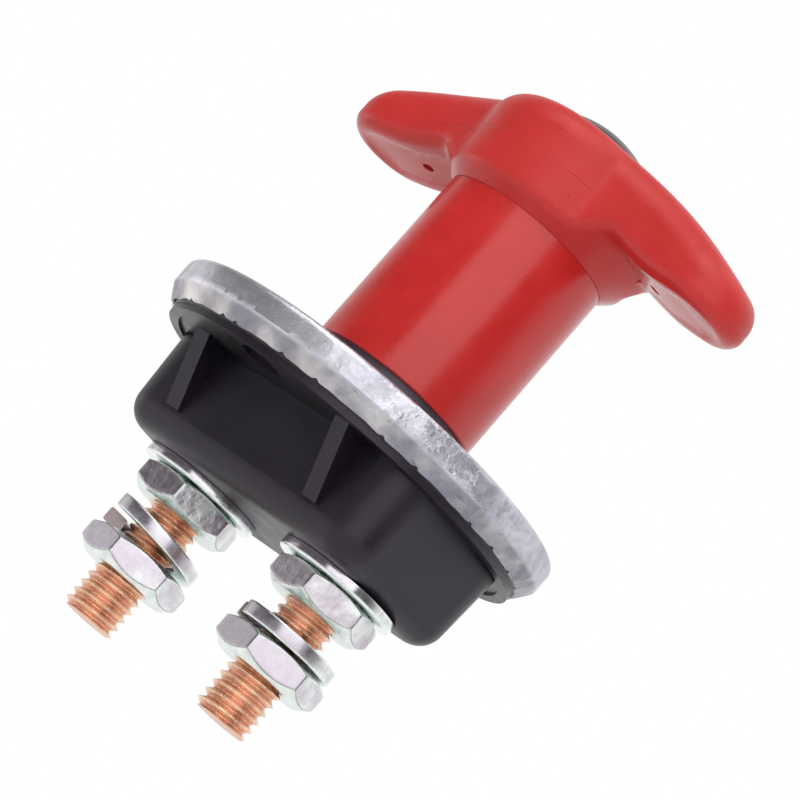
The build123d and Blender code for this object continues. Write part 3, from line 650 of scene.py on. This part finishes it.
def red_moulding():
    """Satin red: slow mottling, fine grain, dark specks, and the parting line, a thin ridge whose height
    follows the distance from the hub and that slow noise breaks up, also painted darker, a painted shade. The
    undersides are glossier."""
    deep_red, light_red, speck_and_seam_shade_red = (0.52, 0.026, 0.023, 1), (0.58, 0.031, 0.028, 1), (0.10, 0.012, 0.012, 1)
    hub_end, wing_start, wing_end = 0.017, 0.022, 0.036
    hub_z, wing_z, wing_droop = 0.0446, 0.0436, -0.0026
    material, tree, shader = finish_of("red_moulding", IOR=1.37)
    skin = place(tree, SKIN, Grain_size=0.28, Grain_depth=0.55, Speck_size=0.8)
    patches = skin.outputs["Patches"]
    tone = ramp(tree, patches, deep_red, light_red, 0.3, 0.7)
    spot = add(tree, "TexCoord")
    where = spot.outputs["Object"]
    at = add(tree, "SeparateXYZ", at0=where)
    reach = number(tree, "ABSOLUTE", at.outputs[0])
    near_hub = span(tree, reach, hub_end, wing_start, hub_z, wing_z)
    on_wing = span(tree, reach, wing_start, wing_end, 0.0, wing_droop)
    line = number(tree, "ADD", near_hub, on_wing)
    off = number(tree, "ABSOLUTE", number(tree, "SUBTRACT", at.outputs[2], line))
    seam = span(tree, off, 0.00012, 0.00003, 0.0, 1.0, eased=True)
    stretches = span(tree, noise(tree, where, 42.0, 1.0), 0.46, 0.54, 0.15, 1.0)
    facing = add(tree, "SeparateXYZ", at0=spot.outputs["Normal"])
    under = span(tree, facing.outputs[2], -0.25, -0.75, 0.0, 1.0, eased=True)
    ridge = number(tree, "SUBTRACT", number(tree, "MULTIPLY", seam, stretches), under, clamp=True)
    dots = add(tree, "TexVoronoi", {"feature": "F1"}, Vector=where, Scale=150.0)
    specks = span(tree, dots.outputs["Distance"], 0.055, 0.035, 0.0, 0.8)
    # The parting line is painted darker as well as raised, a painted shade; the specks are real dark specks.
    specks_and_seam_shade = number(tree, "MULTIPLY_ADD", ridge, 0.24, specks, clamp=True)
    satin = span(tree, patches, 0.3, 0.7, 0.36, 0.44)
    rough = add(tree, "Mix", {"data_type": "FLOAT"}, Factor=under, at2=satin, at3=0.17)
    grain = add(tree, "Bump", Strength=0.3, Distance=0.0001, Height=skin.outputs["Height"])
    bump = add(tree, "Bump", Strength=1.0, Distance=0.00005, Height=ridge, Normal=grain.outputs[0])
    feed(tree, shader, Base_Color=blend(tree, specks_and_seam_shade, tone, speck_and_seam_shade_red),
         Roughness=rough.outputs[0], Normal=bump.outputs[0])
    return material


def shallow_dishes(node):
    """The moulding's own surface, merged, with its dishes flattened. Inside a line near the wing's edge
    the height over the rim shrinks to a share, and what lies over the dish floor keeps its own height.
    Corner normals stay as they are where nothing moved."""
    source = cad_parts[node].data
    spots = np.empty(len(source.vertices) * 3, np.float32)
    corners = np.empty(len(source.loops), np.int32)
    normals = np.empty(len(source.loops) * 3, np.float32)
    source.vertices.foreach_get("co", spots)
    source.loops.foreach_get("vertex_index", corners)
    source.corner_normals.foreach_get("vector", normals)
    merged, index = np.unique((spots.reshape(-1, 3) * 1000.0).round(4), axis=0, return_inverse=True)
    faces = index.ravel()[corners].reshape(-1, 3)
    whole = (faces[:, 0] != faces[:, 1]) & (faces[:, 1] != faces[:, 2]) & (faces[:, 2] != faces[:, 0])
    faces, normals = faces[whole], normals.reshape(-1, 3, 3)[whole]
    hub, end, dish_r, top, share, highest = 17.0, 34.1, 6.05, 42.6, .15, 2.4
    rim_out, rim_drop = [1, 6, 11, 17, 23, 28], [1.5, 2.8, 3.9, 4.5, 4.8, 5.1]
    floor_out, floor_drop = [1, 6, 11, 17, 28], [1.4, 2.4, 3.0, 3.2, 3.4]
    out = np.abs(merged[:, 0]) - hub
    rim = top - np.interp(out, rim_out, rim_drop)
    deep = top - np.interp(out, floor_out, floor_drop) - rim
    inside = np.hypot(np.maximum(out + hub - end, 0), merged[:, 1]) < dish_r
    lift = merged[:, 2] - rim
    moved = inside & (out > .5) & (lift > 0.0) & (lift < highest)
    shrunk = rim + share * np.minimum(lift, deep) + np.maximum(lift - deep, 0)
    merged[:, 2] = np.where(moved, shrunk, merged[:, 2])
    mesh = bpy.data.meshes.new("moulded_handle")
    mesh.from_pydata((merged * MM).tolist(), [], faces.tolist())
    mesh.shade_smooth()
    mesh.set_sharp_from_angle(angle=np.radians(30.0))
    normals[moved[faces].any(1)] = 0.0
    mesh.normals_split_custom_set(normals.reshape(-1, 3).tolist())
    mesh.materials.append(red_moulding())
    piece = bpy.data.objects.new("moulded_handle", mesh)
    bpy.context.scene.collection.objects.link(piece)
    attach(piece, "turning")
    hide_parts(node)


shallow_dishes("handle")

# Cap.
# A near black domed plug of satin plastic, pressed into the top of the hub over the handle screw.


def plug_satin():
    """Near black plastic: patchy tone and gloss, faint grain."""
    deep_black, soft_black = (0.014, 0.014, 0.015, 1), (0.024, 0.024, 0.026, 1)
    material, tree, shader = finish_of("cap_gloss", IOR=1.36, Specular_IOR_Level=0.25)
    skin = place(tree, SKIN, Grain_size=0.5, Grain_depth=0.3, Speck_size=0.5)
    patches = skin.outputs["Patches"]
    bump = add(tree, "Bump", Strength=0.1, Distance=0.0001, Height=skin.outputs["Height"])
    feed(tree, shader, Base_Color=ramp(tree, patches, deep_black, soft_black),
         Roughness=span(tree, patches, 0.3, 0.7, 0.22, 0.32), Normal=bump.outputs[0])
    return material


dress("handle_cap", plug_satin())

# Studio.
# A plain pale floor, clear from below, a soft room that is white to the eye and dimmer in front, and
# four soft boxes. The camera looks up from 10 degrees under the plate and is rolled.

TOWARDS = np.array([0.681, -0.732, 0.0])
ACROSS = np.array([0.732, 0.681, 0.0])


def soft_box(name, direction, distance, width, height, radiance):
    """An area lamp that faces the object from a direction (towards the camera, across to the right, up);
    its power is radiance x area x pi."""
    lamp = bpy.data.lights.new(name, "AREA")
    lamp.shape, lamp.size, lamp.size_y = "RECTANGLE", width, height
    lamp.energy = radiance * width * height * np.pi
    made = bpy.data.objects.new(name, lamp)
    bpy.context.scene.collection.objects.link(made)
    forward, right, up = direction
    way = TOWARDS * forward + ACROSS * right + np.array([0, 0, up])
    way = way / np.linalg.norm(way)
    made.location = way * distance
    side = np.cross([0, 0, 1.0], way)
    side = side / np.linalg.norm(side)
    made.rotation_mode = "QUATERNION"
    made.rotation_quaternion = Matrix(np.array([side, np.cross(way, side), way]).T.tolist()).to_quaternion()
    made.visible_camera = False


soft_box("front_box", (1.0, -0.05, 0.30), 1.0, 1.12, 0.75, 1.62)
soft_box("top_box", (0.35, -0.1, 0.95), 0.9, 0.9, 0.9, 1.1)
soft_box("left_box", (0.55, -0.65, 0.95), 0.9, 0.8, 0.6, 2.0)
soft_box("left_card", (-0.42, -0.90, -0.10), 0.42, 0.22, 0.20, 0.62)


def soft_room():
    """World light by direction: dim in front, bright behind, with the bright part wider on the right.
    The camera sees plain white."""
    world = bpy.data.worlds.new("room")
    world.use_nodes = True
    tree = world.node_tree
    tree.nodes.clear()
    way = add(tree, "TexCoord").outputs["Generated"]
    right = vector(tree, "DOT_PRODUCT", way, tuple(ACROSS))
    behind = vector(tree, "DOT_PRODUCT", way, tuple(-TOWARDS))
    right_wall = span(tree, behind, -0.58, 0.0, 0.16, 1.08, eased=True)
    left_wall = span(tree, behind, 0.30, 0.95, 0.16, 0.95, eased=True)
    which = span(tree, right, -0.15, 0.15, 0.0, 1.0, eased=True)
    level = add(tree, "Mix", {"data_type": "FLOAT"}, Factor=which, at2=left_wall, at3=right_wall)
    seen = add(tree, "LightPath").outputs["Is Camera Ray"]
    shown = add(tree, "Mix", {"data_type": "FLOAT"}, Factor=seen, at2=level.outputs[0], at3=1.0)
    background = add(tree, "Background", Color=(1, 1, 1, 1), Strength=shown.outputs[0])
    add(tree, "OutputWorld", at0=background.outputs[0])
    return world


def pale_paper():
    """Pale floor that metal and glass reflect as white, and that is clear when seen from below."""
    material, tree, shader = finish_of("pale_floor", Roughness=0.8)
    grain = add(tree, "TexNoise", Scale=40.0, Detail=3.0)
    feed(tree, shader, Base_Color=span(tree, grain.outputs[0], 0.0, 1.0, 0.78, 0.82))
    white = add(tree, "Emission", Strength=1.0)
    ray = add(tree, "LightPath")
    mirrored = number(tree, "MAXIMUM", ray.outputs["Is Glossy Ray"], ray.outputs["Is Transmission Ray"])
    upper = add(tree, "MixShader", at0=mirrored, at1=shader.outputs[0], at2=white.outputs[0])
    below = add(tree, "NewGeometry").outputs["Backfacing"]
    clear = add(tree, "BsdfTransparent")
    both = add(tree, "MixShader", at0=below, at1=upper.outputs[0], at2=clear.outputs[0])
    feed(tree, tree.nodes["Material Output"], Surface=both.outputs[0])
    return material


bpy.context.scene.world = soft_room()
FLOOR_REACH, FLOOR_Z = 4, -.25
floor_mesh = bpy.data.meshes.new("floor")
floor_corners = [(x * FLOOR_REACH, y * FLOOR_REACH, FLOOR_Z) for x, y in ((-1, -1), (1, -1), (1, 1), (-1, 1))]
floor_mesh.from_pydata(floor_corners, [], [(0, 1, 2, 3)])
floor = bpy.data.objects.new("floor", floor_mesh)
bpy.context.scene.collection.objects.link(floor)
floor_mesh.materials.append(pale_paper())

camera = bpy.data.cameras.new("camera")
camera.lens, camera.sensor_width, camera.clip_start, camera.clip_end = 145.79, 36.0, 0.01, 20.0
eye = bpy.data.objects.new("camera", camera)
bpy.context.scene.collection.objects.link(eye)
eye.location = (0.32696657, -0.35139548, -0.0808423)
eye.rotation_mode = "QUATERNION"
eye.rotation_quaternion = Quaternion((0.47749939, 0.76676233, 0.01101697, 0.42889217))
bpy.context.scene.camera = eye
bpy.context.scene.view_settings.view_transform = "Standard"
